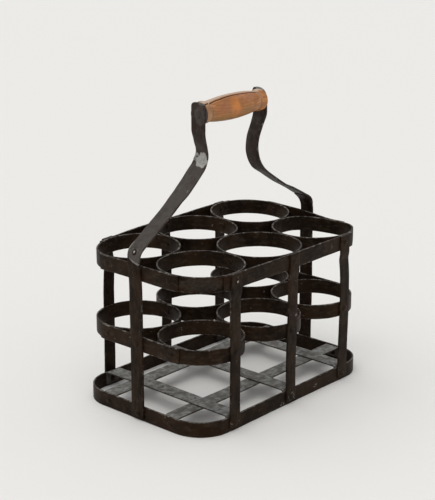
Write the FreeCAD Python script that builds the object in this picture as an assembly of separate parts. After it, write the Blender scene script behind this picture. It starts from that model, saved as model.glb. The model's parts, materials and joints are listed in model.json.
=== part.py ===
import FreeCAD
import Part
import math
import os

from FreeCAD import Vector

# Riveted flat-iron carrier for six bottles, with a wooden grip that turns on its rod.
# Millimetres. +X runs along the length, the front long side faces -Y, +Z is up.
# The origin is on the floor below the middle of the base.

# Bottle places
column_names = ("near", "middle", "far")
row_names = ("front", "back")

# Bottle rings and the strip that rings, straps and base band are cut from
ring_diameter = 100.0
ring_gap = 0.1
ring_seam_angle = 45.0
strip_height = 18.0
strip_thickness = 2.0
upper_tier_top = 187.0
middle_tier_top = 102.5

# Straps run past the last ring they touch and are dressed round it
side_strap_overhang = 16.0
end_strap_overhang = 12.0

# Base band and the grid that the bottles stand on
band_height = 18.0
grid_width = 20.0
grid_thickness = 2.0
grid_proud = 2.0
grid_bend_radius = 3.0
tab_foot = 3.0

# Side uprights, set out by one strip below the upper straps
upright_width = 16.0
upright_thickness = 2.0
upright_foot = 4.0
set_gap = 4.0
set_rise = 8.0
set_radius = 10.0

# End uprights and handle straps, bent by hand: each end has its own slope and bends,
# and the grip sits off the middle, towards the far end
end_upright_width = 18.0
handle_width = 20.5
handle_thickness = 2.5
handle_lean = 4.2
shoulder_rise = 15.5
shoulder_radius = 10.0
tail_gap = 6.0
tail_corner = 2.5
lap_length = 13.0
lap_corner = 3.0
lap_gap = 0.05
lap_rivet_turn = 30.0
near_slope = 32.6
far_slope = 29.1
near_bow = 7.2
far_bow = 3.9
bow_radius = 300.0
near_waist_reach = 41.4
far_waist_reach = 33.2
near_waist_radius = 24.0
far_waist_radius = 36.0
near_neck_drop = 22.4
far_neck_drop = 16.9
near_neck_radius = 24.0
far_neck_radius = 20.0
grip_rise = 60.7
near_crown_corner = 5.0
far_crown_corner = 9.0
near_crown_height = 12.4
far_crown_height = 15.2

# Grip, its rod and the loose discs at its ends
grip_span = 106.1
grip_middle_radius = 15.2
grip_end_radius = 12.0
bead_radius = 13.4
bead_end_radius = 12.8
bead_width = 9.0
groove_radius = 11.0
groove_width = 2.0
near_disc_radius = 13.0
far_disc_radius = 10.0
disc_thickness = 1.0
disc_slack = 2.0
rod_radius = 4.0
rod_head_radius = 6.5
rod_head_height = 2.4
end_play = 0.2
running_clearance = 0.08

# Rivets
rivet_radius = 2.5
rivet_head_radius = 4.0
rivet_head_height = 1.8
hole_clearance = 0.05

# Places worked out from the driving dimensions
ring_outer = ring_diameter / 2
ring_inner = ring_outer - strip_thickness
pitch = ring_diameter + ring_gap
half_width = pitch * len(row_names) / 2
half_rings = pitch * len(column_names) / 2
half_length = half_rings + strip_thickness
column_x = [pitch * (i - (len(column_names) - 1) / 2) for i in range(len(column_names))]
row_y = [pitch * (i - (len(row_names) - 1) / 2) for i in range(len(row_names))]
tier_tops = {"upper": upper_tier_top, "middle": middle_tier_top}
end_signs = {"near": -1, "far": 1}
side_signs = {"front": -1, "back": 1}
band_rivet_height = band_height / 2
cross_strip_top = band_height + grid_proud
long_strip_top = cross_strip_top - grid_thickness

# The handle's side view, drawn for either end as if it were the far one:
# tail, shoulder, slope, bow, waist, neck, crown
upright_middle_x = half_length + handle_thickness / 2
handle_tail_x = upright_middle_x + handle_thickness + lap_gap
shoulder_height = upper_tier_top + shoulder_rise
slopes = {"near": math.radians(near_slope), "far": math.radians(far_slope)}
bowed_slopes = {"near": math.radians(near_slope + near_bow), "far": math.radians(far_slope + far_bow)}
waist_reaches = {"near": near_waist_reach, "far": far_waist_reach}
waist_radii = {"near": near_waist_radius, "far": far_waist_radius}
neck_drops = {"near": near_neck_drop, "far": far_neck_drop}
neck_radii = {"near": near_neck_radius, "far": far_neck_radius}
crown_corners = {"near": near_crown_corner, "far": far_crown_corner}
upright_bend = shoulder_radius + handle_thickness / 2
handle_bend = upright_bend + handle_thickness + lap_gap
setback_shares = {end: math.tan((math.pi / 2 - slope) / 2) for end, slope in slopes.items()}
bend_starts = {end: shoulder_height - handle_bend * share for end, share in setback_shares.items()}
bow_runs = {end: (handle_tail_x - reach) / 2 for end, reach in waist_reaches.items()}
bow_heights = {end: shoulder_height + run * math.tan(slopes[end]) for end, run in bow_runs.items()}
waist_heights = {end: bow_heights[end] + run * math.tan(bowed_slopes[end]) for end, run in bow_runs.items()}
grip_height = sum(waist_heights.values()) / len(waist_heights) + grip_rise
handle_tops = {"near": grip_height + near_crown_height, "far": grip_height + far_crown_height}

solids = {}
holes = {}
rivets = {}


# Unit vector to the left of a run in the XZ plane
def left_of(run):
    return Vector(-run.z, 0, run.x)


# Copy of a shape turned about the Z axis
def turned(shape, degrees):
    copy = shape.copy()
    copy.rotate(Vector(0, 0, 0), Vector(0, 0, 1), degrees)
    return copy


# Copy of a shape moved to a place
def moved(shape, x, y, z):
    copy = shape.copy()
    copy.translate(Vector(x, y, z))
    return copy


# Edges of a side of a bent strip: straight, arc, straight, arc, ... straight
def side_edges(points):
    edges = [Part.LineSegment(points[0], points[1]).toShape()]
    for i in range(1, len(points) - 1, 3):
        edges.append(Part.Arc(points[i], points[i + 1], points[i + 2]).toShape())
        edges.append(Part.LineSegment(points[i + 2], points[i + 3]).toShape())
    return edges


# Strip of constant thickness, bent in the XZ plane along a centre line, its width along Y
def bent_strip(corners, bend_radii, thickness, width):
    runs = [(end - start).normalize() for start, end in zip(corners, corners[1:])]
    stations = [(corners[0], left_of(runs[0]))]
    for corner, radius, before, after in zip(corners[1:-1], bend_radii, runs, runs[1:]):
        turn = math.atan2(before.x * after.z - before.z * after.x, before.dot(after))
        setback = radius * math.tan(abs(turn) / 2)
        side = math.copysign(1.0, turn)
        begin = corner - before * setback
        centre = begin + left_of(before) * (side * radius)
        outward = (corner - centre).normalize()
        stations.append((begin, left_of(before)))
        stations.append((centre + outward * radius, outward * -side))
        stations.append((corner + after * setback, left_of(after)))
    stations.append((corners[-1], left_of(runs[-1])))
    left = [point + normal * (thickness / 2) for point, normal in stations]
    right = [point - normal * (thickness / 2) for point, normal in reversed(stations)]
    edges = side_edges(left)
    edges.append(Part.LineSegment(left[-1], right[0]).toShape())
    edges.extend(side_edges(right))
    edges.append(Part.LineSegment(right[-1], left[0]).toShape())
    face = Part.Face(Part.Wire(edges))
    return moved(face.extrude(Vector(0, width, 0)), 0, -width / 2, 0)


# Rounds the corners of a strip's tip: the edges through the thickness at both sides of a centre point
def rounded_tip(strip, tip, width, radius):
    chosen = []
    for edge in strip.Edges:
        middle = edge.BoundBox.Center
        at_side = abs(abs(middle.y) - width / 2) < 1e-6
        if at_side and math.hypot(middle.x - tip.x, middle.z - tip.z) < 1e-6:
            chosen.append(edge)
    return strip.makeFillet(radius, chosen)


# Closed ring of strip on edge, its seam away from every rivet
def bottle_ring(top):
    outside = Part.makeCylinder(ring_outer, strip_height)
    ring = outside.cut(Part.makeCylinder(ring_inner, strip_height))
    return moved(turned(ring, ring_seam_angle), 0, 0, top - strip_height)


# Strap on edge along X, its inner face at y = 0, ends dressed round the rings that it touches last
def tier_strap(reach, overhang, top):
    inner = pitch / 2
    outer = inner + strip_thickness
    angle = overhang / inner

    def on_ring(side, radius, share):
        bend = angle * share
        return Vector(side * (reach + radius * math.sin(bend)), radius * math.cos(bend) - inner, 0)

    edges = []
    edges.append(Part.LineSegment(on_ring(-1, inner, 0), on_ring(1, inner, 0)).toShape())
    edges.append(Part.Arc(on_ring(1, inner, 0), on_ring(1, inner, 0.5), on_ring(1, inner, 1)).toShape())
    edges.append(Part.LineSegment(on_ring(1, inner, 1), on_ring(1, outer, 1)).toShape())
    edges.append(Part.Arc(on_ring(1, outer, 1), on_ring(1, outer, 0.5), on_ring(1, outer, 0)).toShape())
    edges.append(Part.LineSegment(on_ring(1, outer, 0), on_ring(-1, outer, 0)).toShape())
    edges.append(Part.Arc(on_ring(-1, outer, 0), on_ring(-1, outer, 0.5), on_ring(-1, outer, 1)).toShape())
    edges.append(Part.LineSegment(on_ring(-1, outer, 1), on_ring(-1, inner, 1)).toShape())
    edges.append(Part.Arc(on_ring(-1, inner, 1), on_ring(-1, inner, 0.5), on_ring(-1, inner, 0)).toShape())
    face = Part.Face(Part.Wire(edges))
    return moved(face.extrude(Vector(0, 0, strip_height)), 0, 0, top - strip_height)


# Solid block with rounded upright corners, standing on the floor
def rounded_block(half_x, half_y, corner, height):
    block = Part.makeBox(2 * half_x, 2 * half_y, height, Vector(-half_x, -half_y, 0))
    upright_edges = [edge for edge in block.Edges if edge.BoundBox.ZLength > height / 2]
    return block.makeFillet(corner, upright_edges)


# Base band: its corners begin where the outer edges of the long strips end
def base_band():
    corner = half_width - row_y[-1] - grid_width / 2
    outside = rounded_block(half_length, half_width, corner, band_height)
    inside = rounded_block(
        half_length - strip_thickness, half_width - strip_thickness, corner - strip_thickness, band_height)
    return outside.cut(inside)


# Strip of the base grid along X, ends turned down inside the band
def grid_strip(half_inside, top):
    end_x = half_inside - grid_thickness / 2
    level = top - grid_thickness / 2
    corners = [
        Vector(-end_x, 0, tab_foot),
        Vector(-end_x, 0, level),
        Vector(end_x, 0, level),
        Vector(end_x, 0, tab_foot),
    ]
    return bent_strip(corners, [grid_bend_radius, grid_bend_radius], grid_thickness, grid_width)


# Side upright with its inner face at x = 0, set out to pass the strap
def side_upright():
    set_top = upper_tier_top - strip_height - set_gap
    inner_x = upright_thickness / 2
    outer_x = inner_x + strip_thickness
    corners = [
        Vector(inner_x, 0, upright_foot),
        Vector(inner_x, 0, set_top - set_rise),
        Vector(outer_x, 0, set_top),
        Vector(outer_x, 0, upper_tier_top),
    ]
    return bent_strip(corners, [set_radius, set_radius], upright_thickness, upright_width)


# End upright, bent in along the handle's slope
def end_upright(end):
    setback = upright_bend * setback_shares[end]
    slope_up = Vector(-math.cos(slopes[end]), 0, math.sin(slopes[end]))
    corner = Vector(upright_middle_x, 0, bend_starts[end] + setback)
    tip = corner + slope_up * (setback + lap_length)
    corners = [Vector(upright_middle_x, 0, upright_foot), corner, tip]
    upright = bent_strip(corners, [upright_bend], handle_thickness, end_upright_width)
    return rounded_tip(upright, tip, end_upright_width, lap_corner)


# Handle strap: tail over the shoulder, bowed slope, waist, neck and rounded crown
def handle_strap(end):
    reach = grip_span / 2 + handle_thickness / 2 + end_signs[end] * handle_lean
    tail = Vector(handle_tail_x, 0, upper_tier_top + tail_gap)
    shoulder = Vector(handle_tail_x, 0, shoulder_height)
    bow = Vector(handle_tail_x - bow_runs[end], 0, bow_heights[end])
    waist = Vector(waist_reaches[end], 0, waist_heights[end])
    neck = Vector(reach, 0, grip_height - neck_drops[end])
    crown = Vector(reach, 0, handle_tops[end])
    corners = [tail, shoulder, bow, waist, neck, crown]
    bend_radii = [handle_bend, bow_radius, waist_radii[end], neck_radii[end]]
    strap = bent_strip(corners, bend_radii, handle_thickness, handle_width)
    strap = rounded_tip(strap, tail, handle_width, tail_corner)
    strap = rounded_tip(strap, crown, handle_width, crown_corners[end])
    bore = Part.makeCylinder(
        rod_radius + hole_clearance, 2 * handle_thickness,
        Vector(reach - handle_thickness, 0, grip_height), Vector(1, 0, 0))
    return strap.cut(bore)


# Turned grip along X: barrel between two beads, with the bore for its rod
def grip():
    half = grip_span / 2 - disc_thickness - end_play
    bead_start = half - bead_width
    barrel_end = bead_start - groove_width
    bore = rod_radius + running_clearance

    def bead(side):
        outer = Vector(side * half, 0, bead_end_radius)
        crest = Vector(side * (half - bead_width / 2), 0, bead_radius)
        inner = Vector(side * bead_start, 0, groove_radius)
        return outer, crest, inner

    right_outer, right_crest, right_inner = bead(1)
    left_outer, left_crest, left_inner = bead(-1)
    barrel_right = Vector(barrel_end, 0, grip_end_radius)
    barrel_left = Vector(-barrel_end, 0, grip_end_radius)
    groove_right = Vector(barrel_end, 0, groove_radius)
    groove_left = Vector(-barrel_end, 0, groove_radius)
    bore_right = Vector(half, 0, bore)
    bore_left = Vector(-half, 0, bore)
    edges = [
        Part.LineSegment(bore_left, left_outer).toShape(),
        Part.Arc(left_outer, left_crest, left_inner).toShape(),
        Part.LineSegment(left_inner, groove_left).toShape(),
        Part.LineSegment(groove_left, barrel_left).toShape(),
        Part.Arc(barrel_left, Vector(0, 0, grip_middle_radius), barrel_right).toShape(),
        Part.LineSegment(barrel_right, groove_right).toShape(),
        Part.LineSegment(groove_right, right_inner).toShape(),
        Part.Arc(right_inner, right_crest, right_outer).toShape(),
        Part.LineSegment(right_outer, bore_right).toShape(),
        Part.LineSegment(bore_right, bore_left).toShape(),
    ]
    face = Part.Face(Part.Wire(edges))
    turned_wood = face.revolve(Vector(0, 0, 0), Vector(1, 0, 0), 360)
    return moved(turned_wood, handle_lean, 0, grip_height)


# Pin with a domed head at each end, its upper head seated at z = high and its lower head at z = low
def headed_pin(radius, head_radius, head_height, high, low):
    dome_radius = (head_radius ** 2 + head_height ** 2) / (2 * head_height)
    half_angle = math.asin(head_radius / dome_radius) / 2
    flank = dome_radius * math.sin(half_angle)
    shoulder = head_height - dome_radius * (1 - math.cos(half_angle))
    top = Vector(0, 0, high + head_height)
    bottom = Vector(0, 0, low - head_height)
    high_rim = Vector(head_radius, 0, high)
    low_rim = Vector(head_radius, 0, low)
    edges = [
        Part.LineSegment(bottom, top).toShape(),
        Part.Arc(top, Vector(flank, 0, high + shoulder), high_rim).toShape(),
        Part.LineSegment(high_rim, Vector(radius, 0, high)).toShape(),
        Part.LineSegment(Vector(radius, 0, high), Vector(radius, 0, low)).toShape(),
        Part.LineSegment(Vector(radius, 0, low), low_rim).toShape(),
        Part.Arc(low_rim, Vector(flank, 0, low - shoulder), bottom).toShape(),
    ]
    face = Part.Face(Part.Wire(edges))
    return face.revolve(Vector(0, 0, 0), Vector(0, 0, 1), 360)


# Turns a shape's +Z to a direction and puts its origin at a place
def aimed(shape, place, direction):
    copy = shape.copy()
    aim = FreeCAD.Placement(place, FreeCAD.Rotation(Vector(0, 0, 1), direction))
    copy.Placement = aim.multiply(copy.Placement)
    return copy


# How far a rivet head stands off the middle of a hollow side of the given radius
def stand_off(hollow):
    return hollow - math.sqrt(hollow ** 2 - rivet_head_radius ** 2) + hole_clearance


# Rivet through the named pieces, from a place on their outer face; a head on a hollow side is given its radius
def rivet(group, place, outward, held, pieces, outer_hollow=None, inner_hollow=None):
    high = stand_off(outer_hollow) if outer_hollow else 0.0
    low = -held - (stand_off(inner_hollow) if inner_hollow else 0.0)
    pin = headed_pin(rivet_radius, rivet_head_radius, rivet_head_height, high, low)
    rivets.setdefault(group, []).append(aimed(pin, place, outward))
    drill = Part.makeCylinder(rivet_radius + hole_clearance, held + 2 * strip_thickness)
    drill.translate(Vector(0, 0, -held - strip_thickness))
    for piece in pieces:
        holes.setdefault(piece, []).append(aimed(drill, place, outward))


# Bottle rings of both tiers
for tier, top in tier_tops.items():
    for column, x in zip(column_names, column_x):
        for row, y in zip(row_names, row_y):
            solids[f"{tier}_ring_{column}_{row}"] = moved(bottle_ring(top), x, y, 0)

# Side straps of the upper tier, end straps of both tiers
for row, sign in side_signs.items():
    strap = moved(tier_strap(column_x[-1], side_strap_overhang, upper_tier_top), 0, half_width, 0)
    solids[f"upper_side_strap_{row}"] = turned(strap, 0 if sign > 0 else 180)
for tier, top in tier_tops.items():
    for end, sign in end_signs.items():
        strap = moved(tier_strap(row_y[-1], end_strap_overhang, top), 0, half_rings, 0)
        solids[f"{tier}_end_strap_{end}"] = turned(strap, -90 * sign)

# Base band and grid
solids["base_band"] = base_band()
for row, y in zip(row_names, row_y):
    strip = grid_strip(half_length - strip_thickness, long_strip_top)
    solids[f"base_long_strip_{row}"] = moved(strip, 0, y, 0)
for column, x in zip(column_names, column_x):
    strip = turned(grid_strip(half_width - strip_thickness, cross_strip_top), 90)
    solids[f"base_cross_strip_{column}"] = moved(strip, x, 0, 0)

# Uprights and handle straps
for column, x in zip(column_names, column_x):
    for row, sign in side_signs.items():
        upright = turned(side_upright(), 90 * sign)
        solids[f"side_upright_{column}_{row}"] = moved(upright, x, sign * half_width, 0)
for end, sign in end_signs.items():
    half_turn = 0 if sign > 0 else 180
    solids[f"end_upright_{end}"] = turned(end_upright(end), half_turn)
    solids[f"handle_strap_{end}"] = turned(handle_strap(end), half_turn)

# Grip, rod, and discs that hang on the rod by their wide holes
solids["grip"] = grip()
rod_reach = grip_span / 2 + handle_thickness
rod = headed_pin(rod_radius, rod_head_radius, rod_head_height, rod_reach, -rod_reach)
solids["grip_rod"] = aimed(rod, Vector(handle_lean, 0, grip_height), Vector(1, 0, 0))
disc_radii = {"near": near_disc_radius, "far": far_disc_radius}
disc_start = grip_span / 2 - disc_thickness
disc_height = grip_height - disc_slack + hole_clearance
discs = []
for end, sign in end_signs.items():
    disc = Part.makeCylinder(disc_radii[end], disc_thickness)
    disc = disc.cut(Part.makeCylinder(rod_radius + disc_slack, disc_thickness))
    discs.append(aimed(disc, Vector(handle_lean + sign * disc_start, 0, disc_height), Vector(sign, 0, 0)))
solids["grip_discs"] = Part.makeCompound(discs)

# Rivets of the side uprights: upper tier, middle tier and base
side_outside = half_width + upright_thickness
ring_wall = ring_gap / 2 + strip_thickness
for column, x in zip(column_names, column_x):
    for row, sign in side_signs.items():
        outward = Vector(0, sign, 0)
        upright = f"side_upright_{column}_{row}"
        upper_y = sign * (side_outside + strip_thickness)
        rivet("upper_side_rivets", Vector(x, upper_y, upper_tier_top - strip_height / 2),
              outward, upright_thickness + strip_thickness + ring_wall,
              [upright, f"upper_side_strap_{row}", f"upper_ring_{column}_{row}"], inner_hollow=ring_inner)
        rivet("middle_side_rivets", Vector(x, sign * side_outside, middle_tier_top - strip_height / 2),
              outward, upright_thickness + ring_wall,
              [upright, f"middle_ring_{column}_{row}"], inner_hollow=ring_inner)
        rivet("base_side_rivets", Vector(x, sign * side_outside, band_rivet_height),
              outward, upright_thickness + strip_thickness + grid_thickness,
              [upright, "base_band", f"base_cross_strip_{column}"])

# Rivets of the short ends: straps on rings, uprights on straps and band, strips on the band, handle laps
end_outside = half_length + handle_thickness
for end, sign in end_signs.items():
    outward = Vector(sign, 0, 0)
    upright = f"end_upright_{end}"
    for tier, top in tier_tops.items():
        level = top - strip_height / 2
        strap = f"{tier}_end_strap_{end}"
        rivet("end_upright_rivets", Vector(sign * end_outside, 0, level), outward,
              handle_thickness + strip_thickness, [upright, strap])
        for row, y in zip(row_names, row_y):
            rivet("end_strap_rivets", Vector(sign * half_length, y, level), outward,
                  strip_thickness + ring_wall, [strap, f"{tier}_ring_{end}_{row}"], inner_hollow=ring_inner)
    rivet("end_upright_rivets", Vector(sign * end_outside, 0, band_rivet_height), outward,
          handle_thickness + strip_thickness, [upright, "base_band"])
    for row, y in zip(row_names, row_y):
        rivet("base_strip_rivets", Vector(sign * half_length, y, band_rivet_height), outward,
              strip_thickness + grid_thickness, ["base_band", f"base_long_strip_{row}"])
    lap_turn = math.radians(lap_rivet_turn)
    lap_outward = Vector(sign * math.cos(lap_turn), 0, math.sin(lap_turn))
    bend_middle = Vector(sign * (handle_tail_x - handle_bend), 0, bend_starts[end])
    rivet("handle_lap_rivets", bend_middle + lap_outward * (handle_bend + handle_thickness / 2), lap_outward,
          2 * handle_thickness + lap_gap, [f"handle_strap_{end}", upright], inner_hollow=shoulder_radius)

# Rivets that tie neighbouring rings along the length, both heads inside the rings
for tier, top in tier_tops.items():
    for row, y in zip(row_names, row_y):
        for i, (column, next_column) in enumerate(zip(column_names, column_names[1:])):
            place = Vector(column_x[i] + ring_inner, y, top - strip_height / 2)
            rivet("ring_link_rivets", place, Vector(-1, 0, 0), 2 * ring_wall,
                  [f"{tier}_ring_{column}_{row}", f"{tier}_ring_{next_column}_{row}"],
                  outer_hollow=ring_inner, inner_hollow=ring_inner)

# Drill the pieces, then write every node
for name, drills in holes.items():
    solids[name] = solids[name].cut(drills)
for group, pins in rivets.items():
    solids[group] = Part.makeCompound(pins)

os.makedirs("parts", exist_ok=True)
for name, shape in solids.items():
    shape.exportStep(f"parts/{name}.step")
print("nodes", len(solids), "grip axis", round(grip_height, 2))
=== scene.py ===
import bmesh
import bpy
import json
import random
from math import atan2, copysign, cos, hypot, pi, radians, sin, sqrt, tan
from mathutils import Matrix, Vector, noise


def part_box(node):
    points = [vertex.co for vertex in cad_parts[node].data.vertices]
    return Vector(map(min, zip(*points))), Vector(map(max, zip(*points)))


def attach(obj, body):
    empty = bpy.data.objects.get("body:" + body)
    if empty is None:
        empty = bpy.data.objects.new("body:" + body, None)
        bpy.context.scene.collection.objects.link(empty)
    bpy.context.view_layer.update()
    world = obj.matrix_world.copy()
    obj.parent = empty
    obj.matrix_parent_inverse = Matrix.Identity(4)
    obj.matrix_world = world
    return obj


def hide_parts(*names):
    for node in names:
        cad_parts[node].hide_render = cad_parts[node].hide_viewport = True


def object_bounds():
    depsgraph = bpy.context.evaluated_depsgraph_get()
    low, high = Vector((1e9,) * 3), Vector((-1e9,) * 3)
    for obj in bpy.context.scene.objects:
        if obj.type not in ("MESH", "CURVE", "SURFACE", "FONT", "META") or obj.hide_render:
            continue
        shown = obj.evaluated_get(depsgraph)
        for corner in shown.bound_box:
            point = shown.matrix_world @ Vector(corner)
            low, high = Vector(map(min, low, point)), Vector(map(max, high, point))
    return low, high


# Six-bottle iron carrier with a turned wooden grip. Metres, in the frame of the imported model.
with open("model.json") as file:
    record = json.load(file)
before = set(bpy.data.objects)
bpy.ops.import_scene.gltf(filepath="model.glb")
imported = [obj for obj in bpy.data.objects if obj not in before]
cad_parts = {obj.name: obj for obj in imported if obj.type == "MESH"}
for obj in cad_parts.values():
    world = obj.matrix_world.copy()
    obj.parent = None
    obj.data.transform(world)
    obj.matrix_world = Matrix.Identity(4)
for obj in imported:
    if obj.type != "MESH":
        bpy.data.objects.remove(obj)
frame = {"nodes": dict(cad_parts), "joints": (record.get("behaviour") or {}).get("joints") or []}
cadLow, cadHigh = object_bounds()
scene = bpy.context.scene

columns = ("near", "middle", "far")
rows = ("front", "back")
tiers = ("upper", "middle")
endSign = {"near": -1, "far": 1}
rowSign = {"front": -1, "back": 1}

# places read from the frame
bandLow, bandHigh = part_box("base_band")
ringBox = {(t, c, r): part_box(f"{t}_ring_{c}_{r}") for t in tiers for c in columns for r in rows}
ringLow, ringHigh = ringBox["upper", "middle", "front"]
ringRadius = (ringHigh.x - ringLow.x) / 2
columnX = {c: sum(p.x for p in ringBox["upper", c, "front"]) / 2 for c in columns}
pitch = columnX["far"] - columnX["middle"]
rowY = {r: rowSign[r] * pitch / 2 for r in rows}
tierTop = {t: ringBox[t, "middle", "front"][1].z for t in tiers}
halfLength, halfWidth = bandHigh.x, bandHigh.y
gripAxis = Vector(frame["joints"][0]["pos_m"])


# inputs go by name or number, and a node given as a value stands for its first output
def wire(node, inputs):
    for name, value in inputs.items():
        if isinstance(value, bpy.types.Node):
            value = value.outputs[0]
        if isinstance(value, bpy.types.NodeSocket):
            node.id_data.links.new(value, node.inputs[name])
        else:
            node.inputs[name].default_value = value
    return node


def addNode(tree, kind, settings=None, **inputs):
    node = tree.nodes.new(kind)
    for name, value in (settings or {}).items():
        setattr(node, name, value)
    return wire(node, inputs)


# the next node of a geometry chain, fed by the one before it
def nextNode(before, kind, settings=None, **inputs):
    return wire(addNode(before.id_data, "GeometryNode" + kind, settings, **inputs), {0: before})


# arithmetic on sockets, in the tree that the first one belongs to
def calc(operation, *values, kind="ShaderNodeMath"):
    node = addNode(values[0].id_data, kind, {"operation": operation})
    return wire(node, dict(enumerate(values))).outputs[0]


def plus(first, second):
    return calc("ADD", first, second)


def times(first, second):
    return calc("MULTIPLY", first, second)


def scaled(value, factor, offset):
    return calc("MULTIPLY_ADD", value, factor, offset)


def vector2(operation, first, second):
    return calc(operation, first, second, kind="ShaderNodeVectorMath")


def newTree(name, sockets):
    tree = bpy.data.node_groups.new(name, "GeometryNodeTree")
    for label, kind in {"Geometry": "Geometry", **sockets}.items():
        tree.interface.new_socket(label, in_out="INPUT", socket_type="NodeSocket" + kind)
    tree.interface.new_socket("Geometry", in_out="OUTPUT", socket_type="NodeSocketGeometry")
    return tree, tree.nodes.new("NodeGroupInput").outputs, tree.nodes.new("NodeGroupOutput")


def addObject(name, data):
    item = bpy.data.objects.new(name, data)
    scene.collection.objects.link(item)
    return item


def grow(data, name, tree, values):
    holder = addObject(name + "Run", data)
    modifier = holder.modifiers.new(tree.name, "NODES")
    modifier.node_group = tree
    for item in tree.interface.items_tree:
        if item.in_out == "INPUT" and item.name in values:
            modifier[item.identifier] = values[item.name]
    ready = holder.evaluated_get(bpy.context.evaluated_depsgraph_get())
    mesh = bpy.data.meshes.new_from_object(ready)
    mesh.name = name
    holder.modifiers.remove(modifier)
    bpy.data.objects.remove(holder)
    return mesh


# materials
def newMaterial(name):
    material = bpy.data.materials.new(name)
    material.use_nodes = True
    tree = material.node_tree
    tree.nodes.clear()
    shader = tree.nodes.new("ShaderNodeBsdfPrincipled")
    addNode(tree, "ShaderNodeOutputMaterial", Surface=shader)
    return material, tree, shader


def speckle(vector, scale, detail=4.0, rough=0.6, distortion=0.0):
    return addNode(vector.id_data, "ShaderNodeTexNoise", Vector=vector, Scale=scale, Detail=detail, Roughness=rough,
                   Distortion=distortion).outputs["Fac"]


def fromMesh(tree, name):
    return addNode(tree, "ShaderNodeAttribute", {"attribute_name": name}).outputs["Fac"]


def ramp(value, low, high):
    node = addNode(value.id_data, "ShaderNodeMapRange", {"interpolation_type": "SMOOTHSTEP"}, Value=value)
    return wire(node, {"From Min": low, "From Max": high}).outputs[0]


def blendColour(amount, *colours):
    node = addNode(amount.id_data, "ShaderNodeMix", {"data_type": "RGBA"})
    first, second = (c if isinstance(c, bpy.types.NodeSocket) else (*c, 1.0) for c in colours)
    return wire(node, {0: amount, 6: first, 7: second}).outputs[2]


# scales of the noises in the finishes
grainScale = {"cloud": 26.0, "blotch": 95.0, "grit": 420.0, "chip": 150.0, "torn": 210.0, "hollow": 75.0}


# a spot in the finish: its place, how far it reaches, how torn its border is, how strong it is, and its specks if any;
# some spots are bare metal, and others are painted sheen, highlights and light
def surfaceSpot(place, reach, torn, bare, specks=0.0):
    return {"place": place, "reach": reach, "torn": torn, "bare": bare, "specks": specks}


# full in the middle of the spot's ellipse and none outside
def spotMask(place, spot, inner=0.96, outer=1.04):
    away = vector2("DIVIDE", vector2("SUBTRACT", place, spot["place"]), spot["reach"])
    gap = addNode(place.id_data, "ShaderNodeVectorMath", {"operation": "LENGTH"}, Vector=away).outputs["Value"]
    torn = scaled(speckle(place, grainScale["torn"], 5.0, 0.65), spot["torn"], -spot["torn"] / 2)
    mask = times(ramp(plus(gap, torn), outer, inner), spot["bare"])
    if spot["specks"]:
        mask = times(mask, ramp(speckle(place, spot["specks"], 4.0, 0.6), 0.5, 0.6))
    return mask


def wornIron(name, look):
    material, tree, shader = newMaterial(name)
    place = tree.nodes.new("ShaderNodeTexCoord").outputs["Object"]
    drawn = addNode(tree, "ShaderNodeMapping", Vector=place, Scale=look["drawn"])
    facing = tree.nodes.new("ShaderNodeNewGeometry").outputs["Normal"]
    upward = addNode(tree, "ShaderNodeSeparateXYZ", Vector=facing).outputs["Z"]
    cloud = speckle(place, grainScale["cloud"], 3.0)
    blotch = speckle(place, grainScale["blotch"], 5.0, 0.62)
    streak = speckle(drawn, 1.0, 6.0, 0.65)
    grit = speckle(place, grainScale["grit"], 5.0, 0.7)
    chip = speckle(place, grainScale["chip"], 8.0, 0.72)
    # paint: black and brown clouds, rubbed streaks, dust mixed with painted top light where the face looks up, with a
    # pale painted sheen in its streaks, dark stains
    tone = blendColour(ramp(cloud, 0.36, 0.64), look["paint"], look["brown"])
    streakAndBlotch = times(plus(streak, blotch), 0.5)
    tone = blendColour(times(ramp(streakAndBlotch, 0.47, 0.64), look["rub"]), tone, look["rubbed"])
    dusty = ramp(plus(upward, scaled(blotch, 1.4, -0.7)), 0.25, 0.85)
    dustAndSheenTone = blendColour(ramp(streakAndBlotch, 0.42, 0.62), look["dusty"], look["dustLight"])
    tone = blendColour(times(dusty, look["dust"]), tone, dustAndSheenTone)
    tone = blendColour(times(ramp(blotch, 0.55, 0.66), look["stain"]), tone, look["paint"])
    # bare edges, small chips and patches, some patches being painted sheen, highlights and light
    edge = plus(fromMesh(tree, "edge"), scaled(chip, 1.1, -0.55))
    edgeWear = ramp(edge, look["edgeFrom"], look["edgeFrom"] + 0.22)
    chips = ramp(plus(chip, times(cloud, 0.25)), look["chipFrom"], look["chipFrom"] + 0.05)
    wearAndHighlight = calc("MAXIMUM", times(edgeWear, look["edge"]), times(chips, look["chip"]))
    for spot in look["patches"]:
        wearAndHighlight = calc("MAXIMUM", wearAndHighlight, spotMask(place, spot))
    metal = blendColour(ramp(grit, 0.35, 0.7), look["bare"], look["bareLight"])
    rough = plus(scaled(wearAndHighlight, -0.08, look["rough"]), scaled(streak, 0.3, -0.15))
    # hammered hollows, drawn lines and pits
    hollows = scaled(speckle(place, grainScale["hollow"], 2.0), 0.6, times(grit, 0.14))
    height = calc("SUBTRACT", scaled(streak, 0.22, hollows), times(chips, 0.12))
    bump = addNode(tree, "ShaderNodeBump", Height=height, Strength=look["bump"], Distance=0.0012)
    wire(shader, {"Base Color": blendColour(wearAndHighlight, tone, metal), "Roughness": rough, "Normal": bump,
                  "Metallic": times(wearAndHighlight, look["metal"]), "Specular IOR Level": look["gloss"],
                  "Specular Tint": (*look["tint"], 1.0)})
    return material
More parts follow.
